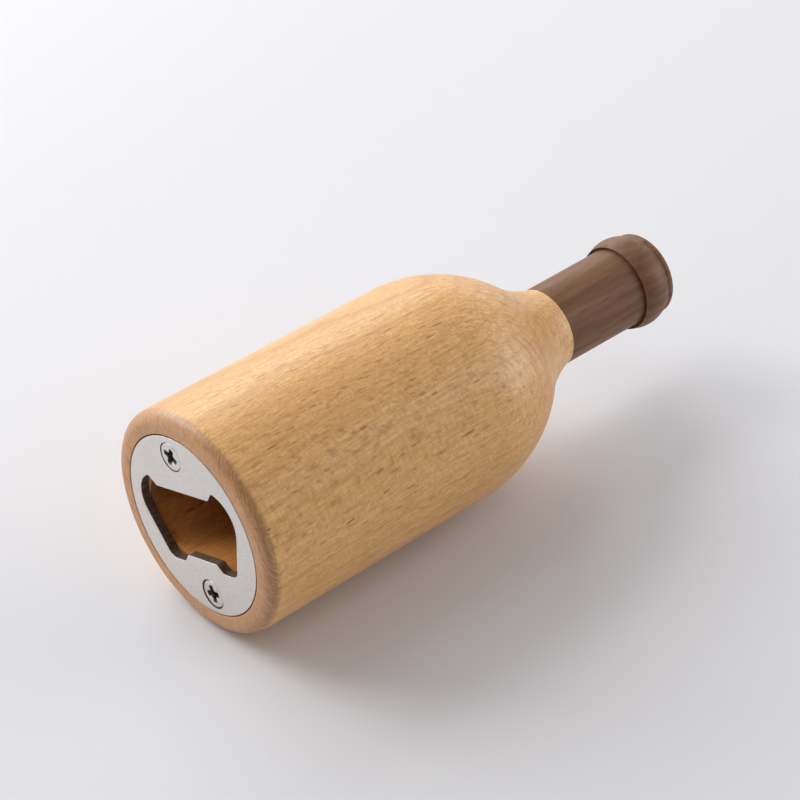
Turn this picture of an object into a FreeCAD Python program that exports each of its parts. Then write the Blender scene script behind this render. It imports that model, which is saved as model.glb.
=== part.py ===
"""Wooden bottle opener in the shape of a small wine bottle.

The bottle lies on its side.  Row frame: origin on the supporting surface, under the
middle of the object's box; +Y runs along the turning axis from the base to the lip;
+Z is up.  Every piece is modelled in the base frame (origin in the middle of the base
plane, +Y along the axis) and then lifted to its place.  Sizes are in millimetres.

Pieces
  beech_body    turned body with plate seat, cap cavity, mortise and two pilot holes
  walnut_neck   turned neck with its tenon and its two-bead lip, glued in the mortise
  opener_plate  round stainless plate with the cap-lifter cut-out, let into the base
  plate_screws  two equal countersunk cross-recess wood screws
"""
import FreeCAD, Part
import math
import os
import Sketcher

App = FreeCAD
V = App.Vector

doc = App.newDocument("bottle_opener")

# ---------------------------------------------------------------- driving sizes
sheet = doc.addObject("Spreadsheet::Sheet", "Dims")
SIZES = [
    ("total_length", 128.5, "base plane to the end of the lip"),
    ("body_radius", 24.9, "turned cylinder"),
    ("base_round", 2.8, "rounded edge of the base"),
    ("shoulder_start", 62.0, "end of the straight cylinder"),
    ("shoulder_radius", 34.2, "convex shoulder curve"),
    ("flare_radius", 30.0, "concave curve into the neck"),
    ("joint_station", 97.35, "beech meets walnut"),
    ("joint_radius", 9.1, "radius at the glued joint"),
    ("mortise_radius", 5.1, "bored hole for the tenon"),
    ("mortise_depth", 17.0, "one millimetre deeper than the tenon"),
    ("tenon_radius", 5.0, "turned on the neck"),
    ("tenon_length", 16.0, ""),
    ("tenon_bevel", 0.6, ""),
    ("neck_radius", 9.17, "just below the lip"),
    ("lip_station", 119.1, "lower edge of the lip"),
    ("bead_centre_x", 3.34, "centre of the main bead's arc, off the axis"),
    ("bead_centre_y", 122.6, "centre of the main bead's arc, along the axis"),
    ("bead_radius", 7.26, "main bead's arc"),
    ("rim_centre_x", 8.32, "centre of the end bead's arc, off the axis"),
    ("rim_radius", 1.3, "end bead's arc"),
    ("plate_radius", 20.0, ""),
    ("plate_thickness", 2.0, ""),
    ("plate_break", 0.15, "broken edge of the plate"),
    ("plate_gap", 0.17, "gap between plate and seat wall"),
    ("plate_turn", 21.5, "plate turned anticlockwise, seen on the base, degrees"),
    ("cavity_radius", 9.5, "end radius of the milled cap cavity"),
    ("cavity_offset", 6.8, "cutter centre either side of the middle"),
    ("cavity_depth", 24.0, "from the base plane"),
    ("tooth_edge", 7.45, "straight upper edge of the cut-out"),
    ("lower_edge", 7.6, "raised lower edge of the cut-out"),
    ("notch_edge", 9.35, "bottom of the two lower notches"),
    ("cheek_centre_x", 9.6, "centre of the cut-out's side curve"),
    ("cheek_centre_y", 3.0, ""),
    ("cheek_radius", 6.56, ""),
    ("notch_corner", 2.6, "outer corner radius of a lower notch"),
    ("screw_offset", 15.45, "screw centre from the middle of the plate"),
    ("screw_hole_radius", 1.7, ""),
    ("sink_radius", 3.2, "countersink at the plate's face"),
    ("head_radius", 3.05, "screw head"),
    ("head_recess", 0.05, "head below the plate's face"),
    ("head_land", 0.12, "cylindrical land of the head"),
    ("shank_radius", 1.5, "plain shank and thread crest"),
    ("core_radius", 1.05, "thread root"),
    ("screw_length", 16.0, ""),
    ("point_length", 3.2, ""),
    ("thread_start", 4.2, ""),
    ("thread_pitch", 1.35, ""),
    ("recess_depth", 1.45, "cross recess"),
    ("recess_half_length", 1.72, "cross recess at the head's face"),
    ("recess_half_width", 0.46, ""),
    ("pilot_radius", 1.05, "pilot hole in the beech, at the thread root"),
    ("pilot_depth", 17.5, "from the base plane"),
]
for row, (alias, value, note) in enumerate(SIZES, start=1):
    sheet.set("A%d" % row, alias.replace("_", " "))
    sheet.set("B%d" % row, str(value))
    sheet.set("C%d" % row, note)
    sheet.setAlias("B%d" % row, alias)
doc.recompute()
D = {alias: float(sheet.get(alias)) for alias, _, _ in SIZES}


# ---------------------------------------------------------------- small helpers
def body_named(label):
    body = doc.addObject("PartDesign::Body", label)
    body.Label = label
    return body


def plane_of(body, role):
    for feature in body.Origin.OriginFeatures:
        if feature.Role == role:
            return feature
    raise RuntimeError("no plane " + role)


def sketch_on(body, name, role, turn=None, offset=None):
    """Sketch on one of the body's origin planes, turned and offset in its own plane."""
    sk = body.newObject("Sketcher::SketchObject", name)
    sk.AttachmentSupport = [(plane_of(body, role), "")]
    sk.MapMode = "FlatFace"
    angle = D[turn] if turn else 0.0
    lift = offset if offset else 0.0
    sk.AttachmentOffset = App.Placement(V(0, 0, lift), App.Rotation(V(0, 0, 1), angle))
    if turn:
        sk.setExpression("AttachmentOffset.Rotation.Angle", "Dims." + turn)
    return sk


def bind(sk, kind, args, value, name, expression):
    """Add one driving constraint, name it and bind it to the sheet."""
    index = sk.addConstraint(Sketcher.Constraint(kind, *args, value))
    sk.renameConstraint(index, name)
    if expression:
        sk.setExpression("Constraints." + name, expression)
    return index


def chain(sk, geometry, smooth=()):
    """Add a closed chain of lines and arcs and tie the ends together.

    Each entry is (geometry, start position, end position) in the chain's sense.  The
    joint after each index in smooth is tangent, and the others only meet."""
    ids = [sk.addGeometry(g, False) for g, _, _ in geometry]
    n = len(ids)
    for i in range(n):
        j = (i + 1) % n
        kind = "Tangent" if i in smooth else "Coincident"
        sk.addConstraint(
            Sketcher.Constraint(kind, ids[i], geometry[i][2], ids[j], geometry[j][1])
        )
    return ids


def line(p, q):
    return (Part.LineSegment(V(p[0], p[1], 0), V(q[0], q[1], 0)), 1, 2)


def arc(centre, p, q, ccw):
    """Arc about centre from p to q; the sketch stores arcs anticlockwise."""
    a = math.atan2(p[1] - centre[1], p[0] - centre[0])
    b = math.atan2(q[1] - centre[1], q[0] - centre[0])
    radius = math.hypot(p[0] - centre[0], p[1] - centre[1])
    circle = Part.Circle(V(centre[0], centre[1], 0), V(0, 0, 1), radius)
    if ccw:
        return (Part.ArcOfCircle(circle, a, b if b > a else b + 2 * math.pi), 1, 2)
    return (Part.ArcOfCircle(circle, b, a if a > b else a + 2 * math.pi), 2, 1)


def solved(sk):
    state = sk.solve()
    if state != 0:
        raise RuntimeError("%s does not solve: %s" % (sk.Name, state))


def revolve(body, sk, name):
    solved(sk)
    feature = body.newObject("PartDesign::Revolution", name)
    feature.Profile = sk
    feature.ReferenceAxis = (sk, ["V_Axis"])
    feature.Angle = 360.0
    feature.Reversed = False
    sk.Visibility = False
    return feature


def pocket(body, sk, name, depth_expression, depth):
    """Pocket from the base plane into the piece."""
    solved(sk)
    feature = body.newObject("PartDesign::Pocket", name)
    feature.Profile = sk
    feature.Type = 0
    feature.Length = depth
    feature.setExpression("Length", depth_expression)
    feature.Reversed = False
    sk.Visibility = False
    return feature


def must_shrink(body, before, least, what):
    doc.recompute()
    lost = before - body.Shape.Volume
    if lost < least:
        raise RuntimeError("%s removed only %.3f mm3" % (what, lost))
    return body.Shape.Volume


def placed(obj, x=0.0, y=0.0, z=0.0):
    """Put a piece built in the base frame into the row frame."""
    obj.Placement = App.Placement(
        V(x, y - D["total_length"] / 2.0, z + D["body_radius"]), App.Rotation()
    )
    obj.setExpression("Placement.Base.y", "-Dims.total_length / 2 + %.6f" % y)
    obj.setExpression("Placement.Base.z", "Dims.body_radius + %.6f" % z)


# ---------------------------------------------------------------- beech body
beech = body_named("beech_body")
R, rf = D["body_radius"], D["base_round"]
s0, Rc, Rv = D["shoulder_start"], D["shoulder_radius"], D["flare_radius"]
sj, rj = D["joint_station"], D["joint_radius"]
# The shoulder is a convex arc tangent to the cylinder; the flare is a concave arc
# tangent to it that ends at the joint.  Its centre is Rc + Rv from the shoulder's
# centre and Rv from the joint point.
c1 = (R - Rc, s0)
dx, dy = rj - c1[0], sj - c1[1]
dist = math.hypot(dx, dy)
along = ((Rc + Rv) ** 2 - Rv**2 + dist**2) / (2 * dist)
across = math.sqrt((Rc + Rv) ** 2 - along**2)
ux, uy = dx / dist, dy / dist
c2 = (c1[0] + ux * along + uy * across, c1[1] + uy * along - ux * across)
if c2[0] < rj:
    c2 = (c1[0] + ux * along - uy * across, c1[1] + uy * along + ux * across)
inflection = (
    c1[0] + (c2[0] - c1[0]) * Rc / (Rc + Rv),
    c1[1] + (c2[1] - c1[1]) * Rc / (Rc + Rv),
)
sk = sketch_on(beech, "BodyProfile", "XY_Plane")
ids = chain(
    sk,
    [
        line((0, 0), (R - rf, 0)),
        arc((R - rf, rf), (R - rf, 0), (R, rf), True),
        line((R, rf), (R, s0)),
        arc(c1, (R, s0), inflection, True),
        arc(c2, inflection, (rj, sj), False),
        line((rj, sj), (0, sj)),
        line((0, sj), (0, 0)),
    ],
    smooth=(0, 1, 2, 3),
)
base, edge, side, shoulder, flare, top, axis = ids
sk.addConstraint(Sketcher.Constraint("Coincident", base, 1, -1, 1))
sk.addConstraint(Sketcher.Constraint("Horizontal", base))
sk.addConstraint(Sketcher.Constraint("Vertical", side))
sk.addConstraint(Sketcher.Constraint("Horizontal", top))
sk.addConstraint(Sketcher.Constraint("Vertical", axis))
bind(sk, "DistanceX", (-1, 1, side, 1), R, "body_radius", "Dims.body_radius")
bind(sk, "Radius", (edge,), rf, "base_round", "Dims.base_round")
bind(sk, "DistanceY", (-1, 1, side, 2), s0, "shoulder_start", "Dims.shoulder_start")
bind(sk, "Radius", (shoulder,), Rc, "shoulder_radius", "Dims.shoulder_radius")
bind(sk, "Radius", (flare,), Rv, "flare_radius", "Dims.flare_radius")
bind(sk, "DistanceY", (-1, 1, top, 1), sj, "joint_station", "Dims.joint_station")
bind(sk, "DistanceX", (-1, 1, top, 1), rj, "joint_radius", "Dims.joint_radius")
revolve(beech, sk, "Turning")
doc.recompute()
volume = beech.Shape.Volume

# Round seat for the plate, as deep as the plate is thick.
sk = sketch_on(beech, "SeatOutline", "XZ_Plane")
ring = sk.addGeometry(
    Part.Circle(V(0, 0, 0), V(0, 0, 1), D["plate_radius"] + D["plate_gap"]), False
)
sk.addConstraint(Sketcher.Constraint("Coincident", ring, 3, -1, 1))
bind(
    sk,
    "Radius",
    (ring,),
    D["plate_radius"] + D["plate_gap"],
    "seat_radius",
    "Dims.plate_radius + Dims.plate_gap",
)
pocket(beech, sk, "PlateSeat", "Dims.plate_thickness", D["plate_thickness"])
volume = must_shrink(beech, volume, 2000.0, "plate seat")

# Cap cavity: a slot milled with a round cutter behind the cut-out.
cr, co = D["cavity_radius"], D["cavity_offset"]
sk = sketch_on(beech, "CavityOutline", "XZ_Plane", turn="plate_turn")
ids = chain(
    sk,
    [
        line((-co, -cr), (co, -cr)),
        arc((co, 0), (co, -cr), (co, cr), True),
        line((co, cr), (-co, cr)),
        arc((-co, 0), (-co, cr), (-co, -cr), True),
    ],
    smooth=(0, 1, 2, 3),
)
low, right, high, left = ids
sk.addConstraint(Sketcher.Constraint("Horizontal", low))
sk.addConstraint(Sketcher.Constraint("Equal", right, left))
sk.addConstraint(Sketcher.Constraint("Symmetric", right, 3, left, 3, -1, 1))
bind(sk, "Radius", (right,), cr, "cavity_radius", "Dims.cavity_radius")
bind(sk, "DistanceX", (left, 3, right, 3), 2 * co, "cavity_span", "2 * Dims.cavity_offset")
pocket(beech, sk, "CapCavity", "Dims.cavity_depth", D["cavity_depth"])
volume = must_shrink(beech, volume, 8000.0, "cap cavity")

# Two pilot holes for the screws, from the base plane.
sk = sketch_on(beech, "PilotOutline", "XZ_Plane", turn="plate_turn")
for name, sign in (("upper", 1), ("lower", -1)):
    g = sk.addGeometry(
        Part.Circle(V(0, sign * D["screw_offset"], 0), V(0, 0, 1), D["pilot_radius"]), False
    )
    sk.addConstraint(Sketcher.Constraint("PointOnObject", g, 3, -2))
    bind(sk, "Radius", (g,), D["pilot_radius"], name + "_radius", "Dims.pilot_radius")
    ends = (-1, 1, g, 3) if sign > 0 else (g, 3, -1, 1)
    bind(sk, "DistanceY", ends, D["screw_offset"], name + "_offset", "Dims.screw_offset")
pocket(beech, sk, "PilotHoles", "Dims.pilot_depth", D["pilot_depth"])
volume = must_shrink(beech, volume, 90.0, "pilot holes")

# Clearance for the plain part of the shank, just under the plate.
sk = sketch_on(beech, "ShankOutline", "XZ_Plane", turn="plate_turn")
for name, sign in (("upper", 1), ("lower", -1)):
    g = sk.addGeometry(
        Part.Circle(V(0, sign * D["screw_offset"], 0), V(0, 0, 1), D["shank_radius"] + 0.02),
        False,
    )
    sk.addConstraint(Sketcher.Constraint("PointOnObject", g, 3, -2))
    bind(sk, "Radius", (g,), D["shank_radius"] + 0.02, name + "_radius", "Dims.shank_radius + 0.02")
    ends = (-1, 1, g, 3) if sign > 0 else (g, 3, -1, 1)
    bind(sk, "DistanceY", ends, D["screw_offset"], name + "_offset", "Dims.screw_offset")
pocket(beech, sk, "ShankHoles", "Dims.thread_start", D["thread_start"])
volume = must_shrink(beech, volume, 5.0, "shank holes")

# Mortise bored into the top of the body along the axis.
sk = sketch_on(beech, "MortiseProfile", "XY_Plane")
mr, md = D["mortise_radius"], D["mortise_depth"]
ids = chain(
    sk,
    [
        line((0, sj - md), (mr, sj - md)),
        line((mr, sj - md), (mr, sj + 1.0)),
        line((mr, sj + 1.0), (0, sj + 1.0)),
        line((0, sj + 1.0), (0, sj - md)),
    ],
)
floor, wall, lid, mid = ids
sk.addConstraint(Sketcher.Constraint("Horizontal", floor))
sk.addConstraint(Sketcher.Constraint("Vertical", wall))
sk.addConstraint(Sketcher.Constraint("Horizontal", lid))
sk.addConstraint(Sketcher.Constraint("PointOnObject", mid, 1, -2))
sk.addConstraint(Sketcher.Constraint("PointOnObject", mid, 2, -2))
bind(sk, "DistanceX", (-1, 1, wall, 1), mr, "mortise_radius", "Dims.mortise_radius")
bind(
    sk,
    "DistanceY",
    (-1, 1, floor, 1),
    sj - md,
    "mortise_floor",
    "Dims.joint_station - Dims.mortise_depth",
)
bind(sk, "DistanceY", (-1, 1, lid, 1), sj + 1.0, "mortise_top", "Dims.joint_station + 1")
groove = beech.newObject("PartDesign::Groove", "Mortise")
groove.Profile = sk
groove.ReferenceAxis = (sk, ["V_Axis"])
groove.Angle = 360.0
sk.Visibility = False
volume = must_shrink(beech, volume, 1200.0, "mortise")
placed(beech)

# ---------------------------------------------------------------- walnut neck
neck = body_named("walnut_neck")
tr, tl, tb = D["tenon_radius"], D["tenon_length"], D["tenon_bevel"]
rn, sl = D["neck_radius"], D["lip_station"]
bc, br = (D["bead_centre_x"], D["bead_centre_y"]), D["bead_radius"]
ec, er = (D["rim_centre_x"], D["total_length"] - D["rim_radius"]), D["rim_radius"]
lip_foot = (bc[0] + math.sqrt(br**2 - (bc[1] - sl) ** 2), sl)
# The crease between the two beads is where their circles cross, on the outer side.
ddx, ddy = ec[0] - bc[0], ec[1] - bc[1]
dd = math.hypot(ddx, ddy)
al = (br**2 - er**2 + dd**2) / (2 * dd)
ac = math.sqrt(br**2 - al**2)
mx, my = bc[0] + ddx / dd * al, bc[1] + ddy / dd * al
crease = max(
    ((mx + ddy / dd * ac, my - ddx / dd * ac), (mx - ddy / dd * ac, my + ddx / dd * ac)),
    key=lambda p: p[0],
)
sk = sketch_on(neck, "NeckProfile", "XY_Plane")
ids = chain(
    sk,
    [
        line((0, sj - tl), (tr - tb, sj - tl)),
        line((tr - tb, sj - tl), (tr, sj - tl + tb)),
        line((tr, sj - tl + tb), (tr, sj)),
        line((tr, sj), (rj, sj)),
        line((rj, sj), (rn, sl)),
        line((rn, sl), lip_foot),
        arc(bc, lip_foot, crease, True),
        arc(ec, crease, (ec[0], ec[1] + er), True),
        line((ec[0], ec[1] + er), (0, ec[1] + er)),
        line((0, ec[1] + er), (0, sj - tl)),
    ],
)
bottom, bevel, cheek, collar, stem, step, bead, rim, end, axis = ids
for g in (bottom, collar, step, end):
    sk.addConstraint(Sketcher.Constraint("Horizontal", g))
sk.addConstraint(Sketcher.Constraint("Vertical", cheek))
sk.addConstraint(Sketcher.Constraint("PointOnObject", axis, 1, -2))
sk.addConstraint(Sketcher.Constraint("PointOnObject", axis, 2, -2))
bind(
    sk,
    "DistanceY",
    (-1, 1, bottom, 1),
    sj - tl,
    "tenon_foot",
    "Dims.joint_station - Dims.tenon_length",
)
bind(sk, "DistanceX", (-1, 1, cheek, 1), tr, "tenon_radius", "Dims.tenon_radius")
bind(sk, "DistanceX", (bevel, 1, bevel, 2), tb, "bevel_width", "Dims.tenon_bevel")
bind(sk, "DistanceY", (bevel, 1, bevel, 2), tb, "bevel_height", "Dims.tenon_bevel")
bind(sk, "DistanceY", (-1, 1, collar, 1), sj, "joint_station", "Dims.joint_station")
bind(sk, "DistanceX", (-1, 1, collar, 2), rj, "joint_radius", "Dims.joint_radius")
bind(sk, "DistanceX", (-1, 1, stem, 2), rn, "neck_radius", "Dims.neck_radius")
bind(sk, "DistanceY", (-1, 1, stem, 2), sl, "lip_station", "Dims.lip_station")
bind(sk, "DistanceX", (-1, 1, bead, 3), bc[0], "bead_centre_x", "Dims.bead_centre_x")
bind(sk, "DistanceY", (-1, 1, bead, 3), bc[1], "bead_centre_y", "Dims.bead_centre_y")
bind(sk, "Radius", (bead,), br, "bead_radius", "Dims.bead_radius")
bind(sk, "DistanceX", (-1, 1, rim, 3), ec[0], "rim_centre_x", "Dims.rim_centre_x")
bind(
    sk,
    "DistanceY",
    (-1, 1, rim, 3),
    ec[1],
    "rim_centre_y",
    "Dims.total_length - Dims.rim_radius",
)
bind(sk, "Radius", (rim,), er, "rim_radius", "Dims.rim_radius")
sk.addConstraint(Sketcher.Constraint("Vertical", rim, 3, rim, 2))
revolve(neck, sk, "Turning")
doc.recompute()
placed(neck)

# ---------------------------------------------------------------- opener plate
plate = body_named("opener_plate")
sk = sketch_on(plate, "PlateOutline", "XZ_Plane")
ring = sk.addGeometry(Part.Circle(V(0, 0, 0), V(0, 0, 1), D["plate_radius"]), False)
sk.addConstraint(Sketcher.Constraint("Coincident", ring, 3, -1, 1))
bind(sk, "Radius", (ring,), D["plate_radius"], "plate_radius", "Dims.plate_radius")
pad = plate.newObject("PartDesign::Pad", "Blank")
pad.Profile = sk
pad.Length = D["plate_thickness"]
pad.setExpression("Length", "Dims.plate_thickness")
pad.Reversed = True
sk.Visibility = False
doc.recompute()
volume = plate.Shape.Volume


def corner(p, q, r, radius):
    """Tangent points and centre of a fillet at q between the lines p-q and q-r."""
    ax, ay = p[0] - q[0], p[1] - q[1]
    bx, by = r[0] - q[0], r[1] - q[1]
    la, lb = math.hypot(ax, ay), math.hypot(bx, by)
    ax, ay, bx, by = ax / la, ay / la, bx / lb, by / lb
    half = math.acos(max(-1.0, min(1.0, ax * bx + ay * by))) / 2
    t = radius / math.tan(half)
    start = (q[0] + ax * t, q[1] + ay * t)
    stop = (q[0] + bx * t, q[1] + by * t)
    mx, my = ax + bx, ay + by
    lm = math.hypot(mx, my)
    k = radius / math.sin(half)
    centre = (q[0] + mx / lm * k, q[1] + my / lm * k)
    turn = (q[0] - p[0]) * (r[1] - q[1]) - (q[1] - p[1]) * (r[0] - q[0])
    return start, centre, stop, turn > 0


# Cut-out, right half, walked clockwise from the tooth's middle.  The tooth edge is
# straight and bears on top of the cap; a ramp leads up to a horn; the cheek is one arc;
# the side is straight down to a rounded notch; the raised lower edge catches the rim.
te, le, ne = D["tooth_edge"], D["lower_edge"], D["notch_edge"]
kc, kr = (D["cheek_centre_x"], D["cheek_centre_y"]), D["cheek_radius"]
nr = D["notch_corner"]
overlap = 0.5
ramp_foot = (9.05, te)
slope = math.radians(45.0)
# horn: fillet of radius 0.9 between the 45 degree ramp and the inside of the cheek arc
hr = 0.9
nx, ny = math.sin(slope), -math.cos(slope)  # from the ramp line to the opening's side
# centre lies hr from the ramp line and kr - hr from the cheek's centre
px, py = ramp_foot[0] + nx * hr, ramp_foot[1] + ny * hr
dxr, dyr = math.cos(slope), math.sin(slope)
bq = 2 * ((px - kc[0]) * dxr + (py - kc[1]) * dyr)
cq = (px - kc[0]) ** 2 + (py - kc[1]) ** 2 - (kr - hr) ** 2
tq = (-bq + math.sqrt(bq * bq - 4 * cq)) / 2
hc = (px + dxr * tq, py + dyr * tq)
horn_in = (hc[0] - nx * hr, hc[1] - ny * hr)
out = math.hypot(hc[0] - kc[0], hc[1] - kc[1])
horn_out = (hc[0] + (hc[0] - kc[0]) / out * hr, hc[1] + (hc[1] - kc[1]) / out * hr)
# side line: tangent to the cheek, leaning in by 23 degrees
lean = math.radians(23.05)
n_side = (math.cos(lean), -math.sin(lean))
side_top = (kc[0] + n_side[0] * kr, kc[1] + n_side[1] * kr)
level = n_side[0] * side_top[0] + n_side[1] * side_top[1]
cy = -ne + nr
cx = (level - nr - n_side[1] * cy) / n_side[0]
side_low = (cx + n_side[0] * nr, cy + n_side[1] * nr)
notch_out = (cx, -ne)
s_a, c_a, e_a, w_a = corner((0, te), ramp_foot, horn_in, 1.0)
notch_in = (6.75, -ne)
lift_top = (5.1, -le)
s_b, c_b, e_b, w_b = corner(notch_out, notch_in, lift_top, 0.3)
s_c, c_c, e_c, w_c = corner(notch_in, lift_top, (0, -le), 0.9)
sk = sketch_on(plate, "CutOutHalf", "XZ_Plane", turn="plate_turn")
ids = chain(
    sk,
    [
        line((-overlap, te), s_a),
        arc(c_a, s_a, e_a, w_a),
        line(e_a, horn_in),
        arc(hc, horn_in, horn_out, False),
        arc(kc, horn_out, side_top, False),
        line(side_top, side_low),
        arc((cx, cy), side_low, notch_out, False),
        line(notch_out, s_b),
        arc(c_b, s_b, e_b, w_b),
        line(e_b, s_c),
        arc(c_c, s_c, e_c, w_c),
        line(e_c, (-overlap, -le)),
        line((-overlap, -le), (-overlap, te)),
    ],
    smooth=(0, 1, 2, 3, 4, 5, 6, 7, 8, 9, 10),
)
tooth, a1, ramp, horn, cheek, side, notch, flat, a2, rise, a3, lower, middle = ids
for g in (tooth, flat, lower):
    sk.addConstraint(Sketcher.Constraint("Horizontal", g))
sk.addConstraint(Sketcher.Constraint("Vertical", middle))
bind(sk, "DistanceX", (middle, 1, -1, 1), overlap, "overlap", None)
bind(sk, "DistanceY", (-1, 1, tooth, 1), te, "tooth_edge", "Dims.tooth_edge")
bind(sk, "DistanceY", (lower, 2, -1, 1), le, "lower_edge", "Dims.lower_edge")
bind(sk, "DistanceY", (flat, 1, -1, 1), ne, "notch_edge", "Dims.notch_edge")
bind(sk, "Radius", (cheek,), kr, "cheek_radius", "Dims.cheek_radius")
bind(sk, "DistanceX", (-1, 1, cheek, 3), kc[0], "cheek_centre_x", "Dims.cheek_centre_x")
bind(sk, "DistanceY", (-1, 1, cheek, 3), kc[1], "cheek_centre_y", "Dims.cheek_centre_y")
bind(sk, "Radius", (notch,), nr, "notch_corner", "Dims.notch_corner")
cut = plate.newObject("PartDesign::Pocket", "CutOutRight")
cut.Profile = sk
cut.Type = 0
cut.Length = D["plate_thickness"] + 1.0
cut.setExpression("Length", "Dims.plate_thickness + 1")
cut.Reversed = False
sk.Visibility = False
volume = must_shrink(plate, volume, 350.0, "right half of the cut-out")
mirror = plate.newObject("PartDesign::Mirrored", "CutOutLeft")
mirror.Originals = [cut]
mirror.MirrorPlane = (sk, ["V_Axis"])
plate.Tip = mirror
volume = must_shrink(plate, volume, 350.0, "left half of the cut-out")

# Countersunk screw holes, turned about the first hole's axis and cut for both.
for name, sign in (("Upper", 1), ("Lower", -1)):
    sk = sketch_on(plate, name + "Hole", "XZ_Plane", turn="plate_turn")
    g = sk.addGeometry(
        Part.Circle(V(0, sign * D["screw_offset"], 0), V(0, 0, 1), D["screw_hole_radius"]), False
    )
    sk.addConstraint(Sketcher.Constraint("PointOnObject", g, 3, -2))
    bind(sk, "Radius", (g,), D["screw_hole_radius"], "hole_radius", "Dims.screw_hole_radius")
    ends = (-1, 1, g, 3) if sign > 0 else (g, 3, -1, 1)
    bind(sk, "DistanceY", ends, D["screw_offset"], "screw_offset", "Dims.screw_offset")
    pocket(plate, sk, name + "Through", "Dims.plate_thickness + 1", D["plate_thickness"] + 1)
    volume = must_shrink(plate, volume, 15.0, name + " hole")
    sk = sketch_on(plate, name + "Sink", "XZ_Plane", turn="plate_turn")
    g = sk.addGeometry(
        Part.Circle(V(0, sign * D["screw_offset"], 0), V(0, 0, 1), D["sink_radius"]), False
    )
    sk.addConstraint(Sketcher.Constraint("PointOnObject", g, 3, -2))
    bind(sk, "Radius", (g,), D["sink_radius"], "sink_radius", "Dims.sink_radius")
    bind(sk, "DistanceY", ends, D["screw_offset"], "screw_offset", "Dims.screw_offset")
    sink = pocket(
        plate,
        sk,
        name + "Countersink",
        "Dims.sink_radius - Dims.screw_hole_radius",
        D["sink_radius"] - D["screw_hole_radius"],
    )
    sink.TaperAngle = -45.0
    volume = must_shrink(plate, volume, 10.0, name + " countersink")

# The two rim edges are broken so that the plate drops into its seat.
doc.recompute()
rims = []
for i, e in enumerate(plate.Shape.Edges, start=1):
    c = e.Curve
    if isinstance(c, Part.Circle) and abs(c.Radius - D["plate_radius"]) < 1e-6:
        rims.append("Edge%d" % i)
before_rim = plate.Tip
chamfer = plate.newObject("PartDesign::Chamfer", "BrokenRim")
chamfer.Base = (before_rim, rims)
chamfer.Size = D["plate_break"]
chamfer.setExpression("Size", "Dims.plate_break")
volume = must_shrink(plate, volume, 0.5, "broken rim")
placed(plate)

# ---------------------------------------------------------------- wood screw
screw = body_named("wood_screw")
hr_, hl, sr = D["head_radius"], D["head_land"], D["shank_radius"]
cor, sl_, pl = D["core_radius"], D["screw_length"], D["point_length"]
ts = D["thread_start"]
# The head's cone lies on the countersink's cone.
seat = D["sink_radius"] - D["head_recess"]
cone_top = seat - hr_
cone_foot = seat - sr
sk = sketch_on(screw, "ScrewProfile", "XY_Plane")
ids = chain(
    sk,
    [
        line((0, 0), (hr_, 0)),
        line((hr_, 0), (hr_, cone_top)),
        line((hr_, cone_top), (sr, cone_foot)),
        line((sr, cone_foot), (sr, ts - 0.6)),
        line((sr, ts - 0.6), (cor, ts)),
        line((cor, ts), (cor, sl_ - pl)),
        line((cor, sl_ - pl), (0, sl_)),
        line((0, sl_), (0, 0)),
    ],
)
head, land, cone, shank, taper, core, point, axis = ids
sk.addConstraint(Sketcher.Constraint("Coincident", head, 1, -1, 1))
sk.addConstraint(Sketcher.Constraint("Horizontal", head))
sk.addConstraint(Sketcher.Constraint("Vertical", land))
sk.addConstraint(Sketcher.Constraint("Vertical", shank))
sk.addConstraint(Sketcher.Constraint("Vertical", core))
sk.addConstraint(Sketcher.Constraint("Vertical", axis))
bind(sk, "DistanceX", (-1, 1, land, 1), hr_, "head_radius", "Dims.head_radius")
bind(
    sk,
    "DistanceY",
    (land, 1, land, 2),
    cone_top,
    "land_height",
    "Dims.sink_radius - Dims.head_recess - Dims.head_radius",
)
bind(sk, "DistanceX", (-1, 1, shank, 1), sr, "shank_radius", "Dims.shank_radius")
bind(
    sk,
    "DistanceY",
    (-1, 1, shank, 1),
    cone_foot,
    "cone_foot",
    "Dims.sink_radius - Dims.head_recess - Dims.shank_radius",
)
bind(sk, "DistanceY", (-1, 1, taper, 1), ts - 0.6, "shank_end", "Dims.thread_start - 0.6")
bind(sk, "DistanceX", (-1, 1, core, 1), cor, "core_radius", "Dims.core_radius")
bind(sk, "DistanceY", (-1, 1, core, 1), ts, "thread_start", "Dims.thread_start")
bind(
    sk,
    "DistanceY",
    (-1, 1, point, 1),
    sl_ - pl,
    "point_start",
    "Dims.screw_length - Dims.point_length",
)
bind(sk, "DistanceY", (-1, 1, point, 2), sl_, "screw_length", "Dims.screw_length")
revolve(screw, sk, "Turning")
doc.recompute()
volume = screw.Shape.Volume

# Cross recess: two loops of the same cross, large at the face and small at its floor.
def cross(sk, arm, width):
    pts = [
        (width, arm), (width, width), (arm, width), (arm, -width), (width, -width),
        (width, -arm), (-width, -arm), (-width, -width), (-arm, -width), (-arm, width),
        (-width, width), (-width, arm),
    ]
    return chain(sk, [line(pts[i], pts[(i + 1) % 12]) for i in range(12)])


top = sketch_on(screw, "RecessFace", "XZ_Plane")
cross(top, D["recess_half_length"], D["recess_half_width"])
low = sketch_on(screw, "RecessFloor", "XZ_Plane", offset=-D["recess_depth"])
low.setExpression("AttachmentOffset.Base.z", "-Dims.recess_depth")
cross(low, 0.72, 0.24)
recess = screw.newObject("PartDesign::SubtractiveLoft", "CrossRecess")
recess.Profile = top
recess.Sections = [low]
recess.Ruled = True
volume = must_shrink(screw, volume, 1.5, "cross recess")

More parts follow.
